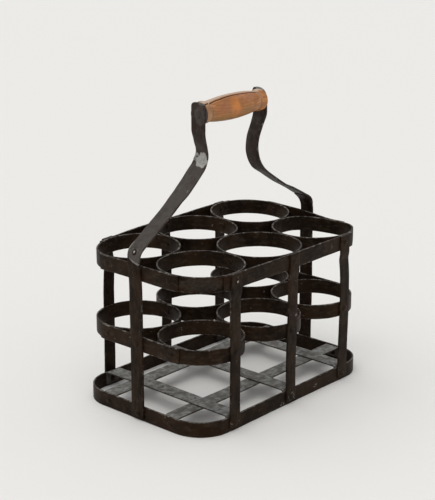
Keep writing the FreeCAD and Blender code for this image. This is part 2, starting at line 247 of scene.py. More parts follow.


# paint, rub, dust with painted top light and sheen on faces that look up, and stains, then bare edges and chips, then
# the gloss
blackPaint = {
    "paint": (0.007, 0.0042, 0.0027), "brown": (0.02, 0.0108, 0.0058), "rubbed": (0.051, 0.0362, 0.0255), "rub": 0.55,
    "dust": 0.4, "dusty": (0.045, 0.041, 0.037), "dustLight": (0.045, 0.041, 0.037), "stain": 0.5,
    "bare": (0.13, 0.12, 0.11), "bareLight": (0.34, 0.32, 0.295), "edge": 0.8, "edgeFrom": 0.9, "chip": 0.6,
    "chipFrom": 0.78, "rough": 0.46, "metal": 0.4, "gloss": 0.08, "tint": (1.0, 0.76, 0.6), "bump": 0.4,
    "drawn": (90.0, 90.0, 260.0), "patches": []}
hoopIron = wornIron("hoopIron", {
    **blackPaint, "edgeFrom": 0.935,
    "patches": [
        # painted sheen: a pale mottled patch on the rings and strap at the near front corner
        surfaceSpot((-0.136, -0.083, 0.178), (0.022, 0.022, 0.008), 2.0, 0.05),
        surfaceSpot((-0.0125, -0.1012, 0.0035), (0.006, 0.004, 0.0028), 1.6, 1.0, 480.0),
        surfaceSpot((-0.03, -0.1012, 0.0012), (0.01, 0.004, 0.0014), 2.0, 0.5, 480.0),
        surfaceSpot((0.0485, -0.1012, 0.0075), (0.004, 0.004, 0.0022), 1.6, 1.0, 520.0)]})
postIron = wornIron("postIron", {
    **blackPaint, "drawn": (260.0, 260.0, 70.0), "edgeFrom": 1.02, "edge": 0.55,
    "patches": [
        surfaceSpot((0.001, -0.1035, 0.008), (0.007, 0.004, 0.0065), 1.8, 0.7, 480.0),
        # painted highlight along the left edge of the near post's lap
        surfaceSpot((-0.15, 0.0115, 0.209), (0.01, 0.0016, 0.0085), 1.2, 0.7)]})
# its strong dust on faces that look up also paints the light from above on the slopes and the crown
handleIron = wornIron("handleIron", {
    **blackPaint, "paint": (0.018, 0.0122, 0.0103), "brown": (0.038, 0.0262, 0.0222), "rubbed": (0.072, 0.06, 0.055),
    "rub": 0.6, "dust": 0.95, "dusty": (0.052, 0.047, 0.043), "dustLight": (0.066, 0.062, 0.058),
    "drawn": (70.0, 380.0, 70.0), "edgeFrom": 1.02, "edge": 0.5, "stain": 0.35, "bare": (0.26, 0.255, 0.24),
    "bareLight": (0.44, 0.435, 0.42), "metal": 0.3, "gloss": 0.14,
    "patches": [
        # bare metal on the near waist's bend, which also paints the highlight there
        surfaceSpot((-0.0478, -0.0025, 0.2878), (0.006, 0.0082, 0.0094), 0.9, 0.95),
        surfaceSpot((-0.0478, 0.0065, 0.2915), (0.006, 0.0044, 0.0065), 2.0, 0.8, 260.0),
        # painted light: a pale patch that makes the near strap's tail look lit to its end
        surfaceSpot((-0.155, 0.0, 0.1985), (0.008, 0.0125, 0.008), 1.6, 0.13),
        # painted highlight along the left edge of the near strap's tail
        surfaceSpot((-0.15, 0.0103, 0.2075), (0.008, 0.0013, 0.006), 1.2, 0.7),
        surfaceSpot((-0.0505, -0.0055, 0.3538), (0.004, 0.006, 0.0016), 1.8, 0.2),
        # painted sheen on the face of the near crown
        surfaceSpot((-0.0515, -0.0035, 0.34), (0.004, 0.008, 0.011), 1.4, 0.07),
        surfaceSpot((0.0585, 0.0005, 0.3568), (0.004, 0.0075, 0.0026), 1.4, 0.7)]})
# the dark paint is painted shade on the strips' sides and turned-down tabs; the pale colour on the top faces is dust
# and wear with a painted sheen from above
gridIron = wornIron("gridIron", {
    **blackPaint, "paint": (0.02, 0.017, 0.0145), "brown": (0.046, 0.041, 0.035), "rubbed": (0.11, 0.106, 0.097),
    "rub": 0.7, "dust": 0.95, "dusty": (0.09, 0.086, 0.079), "dustLight": (0.285, 0.298, 0.29), "stain": 0.8,
    "drawn": (120.0, 120.0, 120.0), "edge": 0.45, "edgeFrom": 1.0, "chip": 0.5, "gloss": 0.3, "rough": 0.5})
# its pale bare colour also paints the bright highlights on the heads
rivetIron = wornIron("rivetIron", {
    **blackPaint, "drawn": (260.0, 260.0, 260.0), "bare": (0.22, 0.21, 0.2), "bareLight": (0.55, 0.53, 0.5)})
discIron = wornIron("discIron", {
    **blackPaint, "paint": (0.052, 0.042, 0.042), "brown": (0.074, 0.06, 0.061), "drawn": (200.0, 200.0, 200.0)})
print("iron finishes ready")


# hammer marks: the surface goes in and out with a noise
def hammered(geometry, given, place, detail, middle):
    tree = geometry.id_data
    dent = addNode(tree, "ShaderNodeTexNoise", Vector=place, Scale=given["Marks"], Detail=detail).outputs["Fac"]
    depth = times(calc("SUBTRACT", dent, middle), given["Hammer"])
    normal = tree.nodes.new("GeometryNodeInputNormal")
    push = addNode(tree, "ShaderNodeVectorMath", {"operation": "SCALE"}, Vector=normal, Scale=depth)
    return nextNode(geometry, "SetPosition", Offset=push)


# flat bar: a run of points, swept with a rounded section and dressed with the hammer
def buildBarTree():
    tree, given, result = newTree("flatBar", {
        "Width": "Float", "Thickness": "Float", "Corner": "Float", "Step": "Float", "Across": "Vector",
        "Hammer": "Float", "Marks": "Float", "Seed": "Float", "Iron": "Material"})
    cuts = 3
    run = nextNode(given["Geometry"], "ResampleCurve", {"mode": "LENGTH"}, Length=given["Step"])
    run = nextNode(run, "SetCurveNormal", {"mode": "FREE"}, Normal=given["Across"])
    section = addNode(tree, "GeometryNodeCurvePrimitiveQuadrilateral", Width=given["Width"], Height=given["Thickness"])
    section = nextNode(section, "SubdivideCurve", Cuts=cuts)
    index = tree.nodes.new("GeometryNodeInputIndex").outputs[0]
    atCorner = calc("LESS_THAN", calc("MODULO", index, cuts + 1.0), 0.5)
    section = nextNode(section, "FilletCurve", {"mode": "POLY"}, Count=3, Radius=times(atCorner, given["Corner"]))
    where = tree.nodes.new("GeometryNodeInputPosition").outputs[0]
    reach = calc("ABSOLUTE", addNode(tree, "ShaderNodeSeparateXYZ", Vector=where).outputs["X"])
    rim = calc("SUBTRACT", times(given["Width"], 0.5), given["Thickness"])
    section = nextNode(section, "StoreNamedAttribute", Name="edge", Value=calc("GREATER_THAN", reach, rim))
    bar = wire(nextNode(run, "CurveToMesh"), {"Profile Curve": section, "Fill Caps": True})
    shift = addNode(tree, "ShaderNodeCombineXYZ", X=given["Seed"], Y=given["Seed"], Z=given["Seed"])
    bar = hammered(bar, given, vector2("ADD", where, shift), 2.0, 0.5)
    bar = nextNode(nextNode(bar, "SetShadeSmooth"), "RealizeInstances")
    wire(result, {"Geometry": nextNode(bar, "SetMaterial", Material=given["Iron"])})
    return tree


barTree = buildBarTree()

# the hand of the smith: one slow warp that carries touching pieces together, and stays in the box
handWork = {"reach": 0.0011, "scale": 11.0, "fadeFrom": 0.26, "fadeTo": 0.32, "seed": 1,
            "floorFade": 0.05, "upShare": 0.8, "settledFrom": 0.115, "settledFull": 0.158, "settledRise": 0.01,
            "settled": (((0.1, 0.1), (0.3, 0.11), (0, 0, 0.0024)),    # place, reach and move
                        ((0.15, -0.044), (0.055, 0.058), (0, 0, -0.0033)),
                        ((-0.125, 0.085), (0.085, 0.07), (0.0006, -0.0022, -0.0012)))}
noise.seed_set(handWork["seed"])


def clamped(share):
    return min(1.0, max(0.0, share))


def eased(share):
    share = clamped(share)
    return share * share * (3 - 2 * share)


# the upper tier has settled: some of its corners stand a little higher, lower or further in
def settled(place):
    low, full = handWork["settledFrom"], handWork["settledFull"]
    level = eased((place.z - low) / (full - low)) * eased(1 - (place.z - tierTop["upper"]) / handWork["settledRise"])
    push = Vector()
    if level:
        for middle, reach, move in handWork["settled"]:
            away = hypot(*((a - b) / c for a, b, c in zip(place, middle, reach)))
            push += Vector(move) * (level * eased(1 - away))
    return push


def warped(place):
    fade = clamped((handWork["fadeTo"] - place.z) / (handWork["fadeTo"] - handWork["fadeFrom"]))
    push = noise.noise_vector(place * handWork["scale"]) * handWork["reach"] * fade
    push.z *= min(1.0, place.z / handWork["floorFade"]) * handWork["upShare"]
    moved = place + push + settled(place)
    return Vector(max(low, min(high, value)) for low, value, high in zip(cadLow, moved, cadHigh))


flatBar = {"step": 0.0025, "ringStep": 0.0026, "corner": 0.0004, "cut": 0.0007, "cutWear": (0.6, 0.6),
           "hammer": 0.00045, "marks": 60.0, "softEnd": 0.0003, "endAngle": 60.0, "sharpAngle": 50.0}


# a name like ringUpperNearFront
def pieceName(*words):
    return words[0] + "".join(word.title() for word in words[1:])


def addPiece(mesh, name, nodes, body="carrier", warp=True):
    if warp:
        for vertex in mesh.vertices:
            vertex.co = warped(vertex.co)
    mesh.set_sharp_from_angle(angle=radians(flatBar["sharpAngle"]))
    piece = addObject(name, mesh)
    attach(piece, body)
    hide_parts(*nodes)
    return piece


def softEnds(piece, width=flatBar["softEnd"]):
    bevel = piece.modifiers.new("softEnds", "BEVEL")
    bevel.width = width
    bevel.segments = 2
    bevel.limit_method = "ANGLE"
    bevel.angle_limit = radians(flatBar["endAngle"])


# every point of a bar, with its distance along from one tip
def fromTip(mesh, tip, inner):
    along = (inner - tip).normalized()
    for vertex in mesh.vertices:
        yield vertex, (vertex.co - tip).dot(along)


def sweepBar(name, run, across, width, thickness, iron, closed=False, step=flatBar["step"], seed=0.0,
             corner=flatBar["corner"], cut=flatBar["cut"], cutWear=flatBar["cutWear"]):
    curve = bpy.data.curves.new(name + "Run", "CURVE")
    curve.dimensions = "3D"
    spline = curve.splines.new("POLY")
    spline.points.add(len(run) - 1)
    for point, place in zip(spline.points, run):
        point.co = (*place, 1.0)
    spline.use_cyclic_u = closed
    mesh = grow(curve, name, barTree, {
        "Width": width, "Thickness": thickness, "Corner": corner, "Step": step, "Across": across,
        "Hammer": flatBar["hammer"], "Marks": flatBar["marks"], "Seed": seed, "Iron": iron})
    # on the handle straps' tails the strong cut wear also paints the highlight along the pale cut
    if not closed:    # cut ends wear like the long edges
        wearAndHighlight = mesh.attributes["edge"].data
        for tip, inner, worn in ((run[0], run[1], cutWear[0]), (run[-1], run[-2], cutWear[1])):
            for vertex, gap in fromTip(mesh, tip, inner):
                if abs(gap) < cut:
                    wearAndHighlight[vertex.index].value = worn
    return mesh


# a straight or bent bar with two cut ends, as a finished piece
def layBar(name, node, slot, *shape, **more):
    softEnds(addPiece(sweepBar(name, *shape, **more), name, [node]))


# points along a flat run: straight stretches, with a bend of its own radius at each inner corner
def bentRun(corners, radii, stepAngle=radians(6)):
    corners = [Vector(corner) for corner in corners]
    points = corners[:1]
    for before, corner, after, radius in zip(corners, corners[1:], corners[2:], radii):
        entry = (corner - before).normalized()
        leave = (after - corner).normalized()
        turning = atan2(entry.x * leave.y - entry.y * leave.x, entry.dot(leave))
        begin = corner - entry * (radius * tan(abs(turning) / 2))
        centre = begin + Vector((-entry.y, entry.x)) * copysign(radius, turning)
        arm = begin - centre
        steps = max(3, round(abs(turning) / stepAngle))
        for i in range(steps + 1):
            angle = turning * i / steps
            points.append(centre + Vector((arm.x * cos(angle) - arm.y * sin(angle),
                                           arm.x * sin(angle) + arm.y * cos(angle))))
    return points + corners[-1:]


# rings of both tiers
boreRadius = 0.048
strip = {"thickness": ringRadius - boreRadius, "height": ringHigh.z - ringLow.z, "ringPoints": 120}
hoop = {"width": strip["height"], "thickness": strip["thickness"], "iron": hoopIron}


def makeRings():
    middle = ringRadius - strip["thickness"] / 2
    for count, ((tier, column, row), (low, high)) in enumerate(ringBox.items()):
        centre = Vector((columnX[column], rowY[row], (low.z + high.z) / 2))
        angles = [2 * pi * i / strip["ringPoints"] for i in range(strip["ringPoints"])]
        run = [centre + Vector((middle * cos(a), middle * sin(a), 0)) for a in angles]
        name = pieceName("ring", tier, column, row)
        mesh = sweepBar(name, run, (0, 0, 1), closed=True, step=flatBar["ringStep"], seed=count * 0.7, **hoop)
        addPiece(mesh, name, [f"{tier}_ring_{column}_{row}"])
    print("rings:", len(ringBox))


# straps along the sides and across the ends, dressed round the last rings
straps = {"sideOverhang": 0.016, "endOverhang": 0.012, "arcSteps": 8}


def strapRun(reach, overhang):
    arc = pitch / 2 + strip["thickness"] / 2
    ends = []
    for i in range(straps["arcSteps"] + 1):
        angle = overhang / (pitch / 2) * i / straps["arcSteps"]
        ends.append(Vector((reach + arc * sin(angle), arc * cos(angle) - pitch / 2)))
    return [Vector((-p.x, p.y)) for p in reversed(ends)] + ends


def makeStraps():
    side = strapRun(columnX["far"], straps["sideOverhang"])
    for row in rows:
        run = [Vector((p.x, rowSign[row] * (halfWidth + p.y), tierTop["upper"] - strip["height"] / 2)) for p in side]
        layBar(pieceName("strapSide", row), f"upper_side_strap_{row}", "frame_iron", run, (0, 0, 1),
               seed=9.0 + rowSign[row], **hoop)
    short = strapRun(rowY["back"], straps["endOverhang"])
    flush = halfLength - strip["thickness"]
    for tier in tiers:
        for end, sign in endSign.items():
            run = [Vector((sign * (flush + p.y), p.x, tierTop[tier] - strip["height"] / 2)) for p in short]
            layBar(pieceName("strapEnd", tier, end), f"{tier}_end_strap_{end}", "frame_iron", run, (0, 0, 1),
                   seed=14.0 + sign, **hoop)
    print("straps ready")


# base band and the grid that the bottles stand on
base = {"gridBend": 0.003, "tabFoot": 0.003}
grid = {"width": 0.02, "thickness": 0.002, "step": 0.0011, "iron": gridIron}


def makeBase():
    middle = strip["thickness"] / 2
    corner = halfWidth - rowY["back"] - grid["width"] / 2 - middle
    x, y = halfLength - middle, halfWidth - middle
    loop = bentRun([(0, -y), (x, -y), (x, y), (-x, y), (-x, -y), (0, -y)], [corner] * 4)[:-1]
    height = bandHigh.z - bandLow.z
    run = [Vector((p.x, p.y, height / 2)) for p in loop]
    mesh = sweepBar("baseBand", run, (0, 0, 1), closed=True, step=flatBar["ringStep"], seed=21.0,
                    **{**hoop, "width": height})
    addPiece(mesh, "baseBand", ["base_band"])

    def gridRun(half, node):
        end = half - strip["thickness"] - grid["thickness"] / 2
        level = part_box(node)[1].z - grid["thickness"] / 2
        foot = base["tabFoot"]
        return bentRun([(-end, foot), (-end, level), (end, level), (end, foot)], [base["gridBend"]] * 2)

    for row in rows:
        node = f"base_long_strip_{row}"
        run = [Vector((p.x, rowY[row], p.y)) for p in gridRun(halfLength, node)]
        layBar(pieceName("gridLong", row), node, "base_iron", run, (0, 1, 0), seed=24.0, **grid)
    for column in columns:
        node = f"base_cross_strip_{column}"
        run = [Vector((columnX[column], p.x, p.y)) for p in gridRun(halfWidth, node)]
        layBar(pieceName("gridCross", column), node, "base_iron", run, (1, 0, 0), seed=27.0, **grid)
    print("base ready")


# uprights of the sides, set out to pass the upper strap
post = {"width": 0.0166, "thickness": 0.002, "foot": 0.004, "setGap": 0.004, "setRise": 0.008, "setRadius": 0.01,
        "leanFrom": 0.13, "leanTo": 0.176, "lean": {("far", "front"): -0.0044}}


# how far along a side post leans at some height
def postLean(column, row, height):
    share = eased((height - post["leanFrom"]) / (post["leanTo"] - post["leanFrom"]))
    return post["lean"].get((column, row), 0.0) * share


def makeSidePosts():
    inner = halfWidth + post["thickness"] / 2
    outer = inner + strip["thickness"]
    setTop = tierTop["upper"] - strip["height"] - post["setGap"]
    flat = bentRun([(inner, post["foot"]), (inner, setTop - post["setRise"]), (outer, setTop),
                    (outer, tierTop["upper"])], [post["setRadius"]] * 2)
    for column in columns:
        for row in rows:
            run = [Vector((columnX[column], rowSign[row] * p.x, p.y)) for p in flat]
            name = pieceName("postSide", column, row)
            mesh = sweepBar(name, run, (1, 0, 0), post["width"], post["thickness"], postIron, seed=31.0 + rowSign[row])
            for vertex in mesh.vertices:
                vertex.co.x += postLean(column, row, vertex.co.z)
            softEnds(addPiece(mesh, name, [f"side_upright_{column}_{row}"]))
    print("side posts ready")


# end posts and handle straps, drawn for either end as if it were the far one
handle = {
    "width": 0.0205, "postWidth": 0.0188, "thickness": 0.0025, "lapGap": 0.00005, "shoulderRise": 0.0155,
    "shoulderRadius": 0.01, "tailGap": 0.006, "tailCorner": 0.0025, "lapLength": 0.013, "lapCorner": 0.003,
    "lapRivetTurn": 30.0, "lapKeep": 0.25, "bowRadius": 0.3, "gripSpan": 0.1061, "crownGap": 0.0001, "postStep": 0.0012,
    # the strong wear on the tails' cut ends also paints their highlight
    "strap": {"step": 0.0008, "corner": 0.0006, "cut": 0.0022, "cutWear": (1.25, 0.7)}, "strapEnd": 0.0004,
    "easeFrom": -28.0, "easeTo": 88.0, "easeInner": 0.006, "easeOuter": 0.03,
    "near": {
        "slope": 32.6, "bow": 7.2, "waist": 0.0414, "waistRadius": 0.024, "neckDrop": 0.0224, "neckRadius": 0.024,
        "crownFront": 0.005, "crownBack": 0.005, "crownLean": 0.0, "tailRun": 0.014, "tailSlant": 0.0032,
        "tailDrop": 0.0023, "tailShift": 0.0018, "tailKeep": 0.75, "tailTrim": {-1: 0.0, 1: 0.0048}, "easeBend": 0.0,
        "postLean": ((0.16, 0), (0.193, 2.4), (0.206, 2.8), (0.2225, 0)),
        "frontEdge": ((0.218, 0), (0.232, 1.3), (0.244, 1.4), (0.257, -1.0), (0.27, -1.2), (0.29, 0), (0.302, 1.0),
                      (0.312, 1.0), (0.325, 0)),
        "backEdge": ((0.212, 0), (0.23, 1.35), (0.247, 1.7), (0.257, 1.2), (0.265, 0.9), (0.277, 1.6), (0.2865, 0.5),
                     (0.2975, -2.3), (0.309, -1.2), (0.325, 0))},
    "far": {
        "slope": 29.1, "bow": 3.9, "waist": 0.0332, "waistRadius": 0.036, "neckDrop": 0.0169, "neckRadius": 0.02,
        "crownFront": 0.01, "crownBack": 0.006, "crownLean": 0.0024, "tailRun": 0.018, "tailSlant": 0.0,
        "tailDrop": 0.0, "tailShift": 0.0, "tailKeep": 0.2, "tailTrim": {-1: 0.0025, 1: 0.0015}, "easeBend": 0.0014,
        "postLean": (),
        "frontEdge": ((0.208, 0), (0.226, -0.2), (0.236, -1.5), (0.255, -1.4), (0.266, -0.7), (0.28, -0.7),
                      (0.292, -1.1), (0.312, -1.1), (0.33, 0)),
        "backEdge": ((0.208, 0), (0.222, 0.6), (0.235, 0.3), (0.248, 0.0), (0.258, -0.7), (0.27, 0.0), (0.28, 0.3),
                     (0.292, 1.1), (0.312, 1.1), (0.33, 0))}}
shoulderHeight = tierTop["upper"] + handle["shoulderRise"]
postX = halfLength + handle["thickness"] / 2
tailX = postX + handle["thickness"] + handle["lapGap"]
tailHeight = tierTop["upper"] + handle["tailGap"]


postBend = handle["shoulderRadius"] + handle["thickness"] / 2
strapBend = postBend + handle["thickness"] + handle["lapGap"]


# how far a shoulder's bend sets back per radius
def setback(end):
    return tan((pi / 2 - radians(handle[end]["slope"])) / 2)


# middle of the bend that post and strap share
def bendMiddle(end):
    return tailX - strapBend, shoulderHeight - strapBend * setback(end)


def endPostRun(end):
    slope, share = radians(handle[end]["slope"]), setback(end)
    up = Vector((-cos(slope), sin(slope)))
    corner = Vector((postX, shoulderHeight + (postBend - strapBend) * share))
    return bentRun([(postX, post["foot"]), corner, corner + up * (postBend * share + handle["lapLength"])], [postBend])


def handleRun(end):
    own = handle[end]
    half = (tailX - own["waist"]) / 2
    bow = Vector((tailX - half, shoulderHeight + half * tan(radians(own["slope"]))))
    waist = Vector((own["waist"], bow.y + half * tan(radians(own["slope"] + own["bow"]))))
    reach = handle["gripSpan"] / 2 + handle["thickness"] / 2 + endSign[end] * gripAxis.x
    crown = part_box(f"handle_strap_{end}")[1].z - handle["crownGap"]
    corners = [(tailX, tailHeight), (tailX, shoulderHeight), bow, waist, (reach, gripAxis.z - own["neckDrop"]),
               (reach, crown)]
    return bentRun(corners, [strapBend, handle["bowRadius"], own["waistRadius"], own["neckRadius"]])


# rounds a bar's tip: its outline narrows over the last stretch, with a radius for its front and its back corner
def roundTip(mesh, tip, inner, half, front, back):
    for vertex, gap in fromTip(mesh, tip, inner):
        radius = front if vertex.co.y < 0 else back
        if gap < radius:
            rest = radius - max(0.0, gap)
            vertex.co.y *= (half - radius + sqrt(radius * radius - rest * rest)) / half


# forges a tip thin: the face on the side that normal points to keeps its place
def thinTip(mesh, tip, inner, normal, length, keep):
    for vertex, gap in fromTip(mesh, tip, inner):
        if gap < length:
            depth = handle["thickness"] / 2 - (vertex.co - tip).dot(normal)
            vertex.co += normal * (depth * (1 - keep) * (1 - max(0.0, gap) / length))


def stepped(pairs, value):
    for (low, first), (high, second) in zip(pairs, pairs[1:]):
        if low <= value < high:
            return first + (second - first) * eased((value - low) / (high - low))
    return 0.0


# the place at some distance along a flat run, and the way out of it there
def alongRun(flat, reach):
    for first, second in zip(flat, flat[1:]):
        span = (second - first).length
        if reach <= span or second is flat[-1]:
            way = (second - first) / span
            return first + way * reach, Vector((way.y, -way.x))
        reach -= span


# lays a strap's tail anew along its run: cut on a slant, out of line, trimmed at its corners and forged thin
def layTail(mesh, flat, end):
    own = handle[end]
    half = handle["width"] / 2
    for vertex in mesh.vertices:
        spot = Vector((endSign[end] * vertex.co.x, vertex.co.z))
        if spot.y > shoulderHeight + own["tailRun"]:
            continue
        before, nearest = 0.0, (1.0, 0.0, 0.0)
        for first, second in zip(flat, flat[1:]):
            span = (second - first).length
            way = (second - first) / span
            reach = min(span, max(0.0, (spot - first).dot(way)))
            away = spot - first - way * reach
            nearest = min(nearest, (away.length, before + reach, away.dot(Vector((way.y, -way.x)))))
            before += span
        reach, depth = nearest[1:]
        share = 1 - reach / own["tailRun"]
        if share <= 0:
            continue
        side = vertex.co.y / half
        foot, out = alongRun(flat, reach + (own["tailSlant"] * side - own["tailDrop"]) * share)
        depth = (depth + handle["thickness"] / 2) * (1 - (1 - own["tailKeep"]) * share) - handle["thickness"] / 2
        spot = foot + out * depth
        trim = own["tailTrim"][1 if side > 0 else -1] * side * share * share
        vertex.co = (endSign[end] * spot.x, vertex.co.y + own["tailShift"] * share - trim, spot.y)


# a bend drawn in by hand: the layers of a shoulder come nearer its middle together
def easedBend(place, end):
    x, z = bendMiddle(end)
    arm = Vector((abs(place.x) - x, place.z - z))
    turned = atan2(arm.y, arm.x)
    low, high = radians(handle["easeFrom"]), radians(handle["easeTo"])
    if not low < turned < high or not handle["easeInner"] < arm.length < handle["easeOuter"]:
        return place
    arm *= handle[end]["easeBend"] * sin(pi * (turned - low) / (high - low)) ** 2 / arm.length
    return place - Vector((endSign[end] * arm.x, 0, arm.y))


# twists a strap: each edge leaves the flat by its listed millimetres at that height
def twistStrap(mesh, flat, end):
    half = handle["width"] / 2
    for vertex in mesh.vertices:
        height = vertex.co.z
        side = vertex.co.y / half
        front, back = (stepped(handle[end][edge], height) / 2000 for edge in ("frontEdge", "backEdge"))
        lift = front * (1 - side) + back * (1 + side)
        if lift:
            i = next(k for k in range(1, len(flat)) if flat[k].y >= height)
            tangent = (flat[i] - flat[i - 1]).normalized()
            vertex.co += Vector((endSign[end] * tangent.y, 0, -tangent.x)) * lift
        if height > gripAxis.z:
            vertex.co.y += handle[end]["crownLean"] * (height - gripAxis.z) / (flat[-1].y - gripAxis.z)


def makeHandle():
    for end, sign in endSign.items():
        run = [Vector((sign * p.x, 0, p.y)) for p in endPostRun(end)]
        name = pieceName("postEnd", end)
        mesh = sweepBar(name, run, (0, 1, 0), handle["postWidth"], handle["thickness"], postIron,
                        step=handle["postStep"], seed=37.0 + sign)
        roundTip(mesh, run[-1], run[-2], handle["postWidth"] / 2, handle["lapCorner"], handle["lapCorner"])
        up = (run[-1] - run[-2]).normalized()
        thinTip(mesh, run[-1], run[-2], Vector((sign * up.z, 0, -sign * up.x)), handle["lapLength"], handle["lapKeep"])
        for vertex in mesh.vertices:
            vertex.co.y += stepped(handle[end]["postLean"], vertex.co.z) / 1000
            vertex.co = easedBend(vertex.co, end)
        softEnds(addPiece(mesh, name, [f"end_upright_{end}"]))
        flat = handleRun(end)
        run = [Vector((sign * p.x, 0, p.y)) for p in flat]
        name = pieceName("handleStrap", end)
        mesh = sweepBar(name, run, (0, 1, 0), handle["width"], handle["thickness"], handleIron, seed=41.0 + sign,
                        **handle["strap"])
        roundTip(mesh, run[0], run[1], handle["width"] / 2, handle["tailCorner"], handle["tailCorner"])
        roundTip(mesh, run[-1], run[-2], handle["width"] / 2, handle[end]["crownFront"], handle[end]["crownBack"])
        layTail(mesh, flat, end)
        for vertex in mesh.vertices:
            vertex.co = easedBend(vertex.co, end)
        twistStrap(mesh, flat, end)
        softEnds(addPiece(mesh, name, [f"handle_strap_{end}"]), handle["strapEnd"])
    print("handle ready")


# rivets: a domed head, hammered a little differently each time, on both sides of every joint
# the pale bare top of each head, and the few rubbed heads, also paint the heads' highlights
rivet = {"radius": 0.004, "height": 0.0015, "sunk": 0.0006, "hammer": 0.0006, "marks": 320.0, "seed": 5,
         "least": (0.88, 0.88, 0.72), "worn": 1.35, "painted": (0.2, 0.85),
         "rubbed": {"upper_side_rivets": [0], "handle_lap_rivets": [0]}}
chance = random.Random(rivet["seed"])


def buildRivetTree():
    tree, given, result = newTree("rivetHeads", {
        "Radius": "Float", "Height": "Float", "Sunk": "Float", "Hammer": "Float", "Marks": "Float", "Seed": "Int",
        "Iron": "Material"})

    def stored(label, kind="FLOAT"):
        return addNode(tree, "GeometryNodeInputNamedAttribute", {"data_type": kind}, Name=label).outputs[0]

    ball = addNode(tree, "GeometryNodeMeshIcoSphere", Radius=1.0, Subdivisions=4)
    where = tree.nodes.new("GeometryNodeInputPosition").outputs[0]
    parts = addNode(tree, "ShaderNodeSeparateXYZ", Vector=where).outputs
    top = times(calc("MAXIMUM", parts["Z"], 0.0), given["Height"])
    under = times(calc("MINIMUM", parts["Z"], 0.0), given["Sunk"])
    dome = addNode(tree, "ShaderNodeCombineXYZ", X=times(parts["X"], given["Radius"]),
                   Y=times(parts["Y"], given["Radius"]), Z=plus(top, under))
    head = nextNode(ball, "StoreNamedAttribute", Name="crest", Value=ramp(parts["Z"], 0.9, 0.99))
    head = nextNode(head, "SetPosition", Position=dome)
    spin = wire(addNode(tree, "FunctionNodeRandomValue", {"data_type": "FLOAT"}, Seed=given["Seed"]), {3: 2 * pi})
    lean = addNode(tree, "FunctionNodeAxisAngleToRotation", Axis=(0, 0, 1), Angle=spin.outputs[1])
    aim = addNode(tree, "FunctionNodeAlignRotationToVector", {"axis": "Z"}, Vector=stored("outward", "FLOAT_VECTOR"),
                  Rotation=lean)
    size = addNode(tree, "FunctionNodeRandomValue", {"data_type": "FLOAT_VECTOR"}, Seed=given["Seed"])
    wire(size, {0: rivet["least"], 1: (1.0, 1.0, 1.0)})
    heads = nextNode(given["Geometry"], "InstanceOnPoints", Instance=head, Rotation=aim, Scale=size)
    heads = hammered(nextNode(heads, "RealizeInstances"), given, where, 1.0, 0.62)
    # the bare top of each head is also a painted highlight
    worn = plus(stored("edge"), scaled(stored("crest"), 0.55, -0.55))    # paint holds on at the rim
    heads = nextNode(nextNode(heads, "StoreNamedAttribute", Name="edge", Value=worn), "SetShadeSmooth")
    wire(result, {"Geometry": nextNode(heads, "SetMaterial", Material=given["Iron"])})
    return tree


rivetTree = buildRivetTree()


def makeRivets(node, spots, radius=rivet["radius"], height=rivet["height"], iron=rivetIron, warp=True):
    places, outwards = zip(*spots)
    points = bpy.data.meshes.new(node + "Points")
    points.from_pydata(places, [], [])
    facing = points.attributes.new("outward", "FLOAT_VECTOR", "POINT")
    for item, outward in zip(facing.data, outwards):
        item.vector = outward
    bare = points.attributes.new("edge", "FLOAT", "POINT")    # most heads keep their paint
    for i, item in enumerate(bare.data):
        item.value = rivet["worn"] if i in rivet["rubbed"].get(node, []) else chance.uniform(*rivet["painted"])
    name = pieceName(*node.split("_"))
    mesh = grow(points, name, rivetTree, {
        "Radius": radius, "Height": height, "Sunk": rivet["sunk"], "Hammer": rivet["hammer"], "Marks": rivet["marks"],
        "Seed": rivet["seed"] + len(spots), "Iron": iron})
    addPiece(mesh, name, [node], warp=warp)


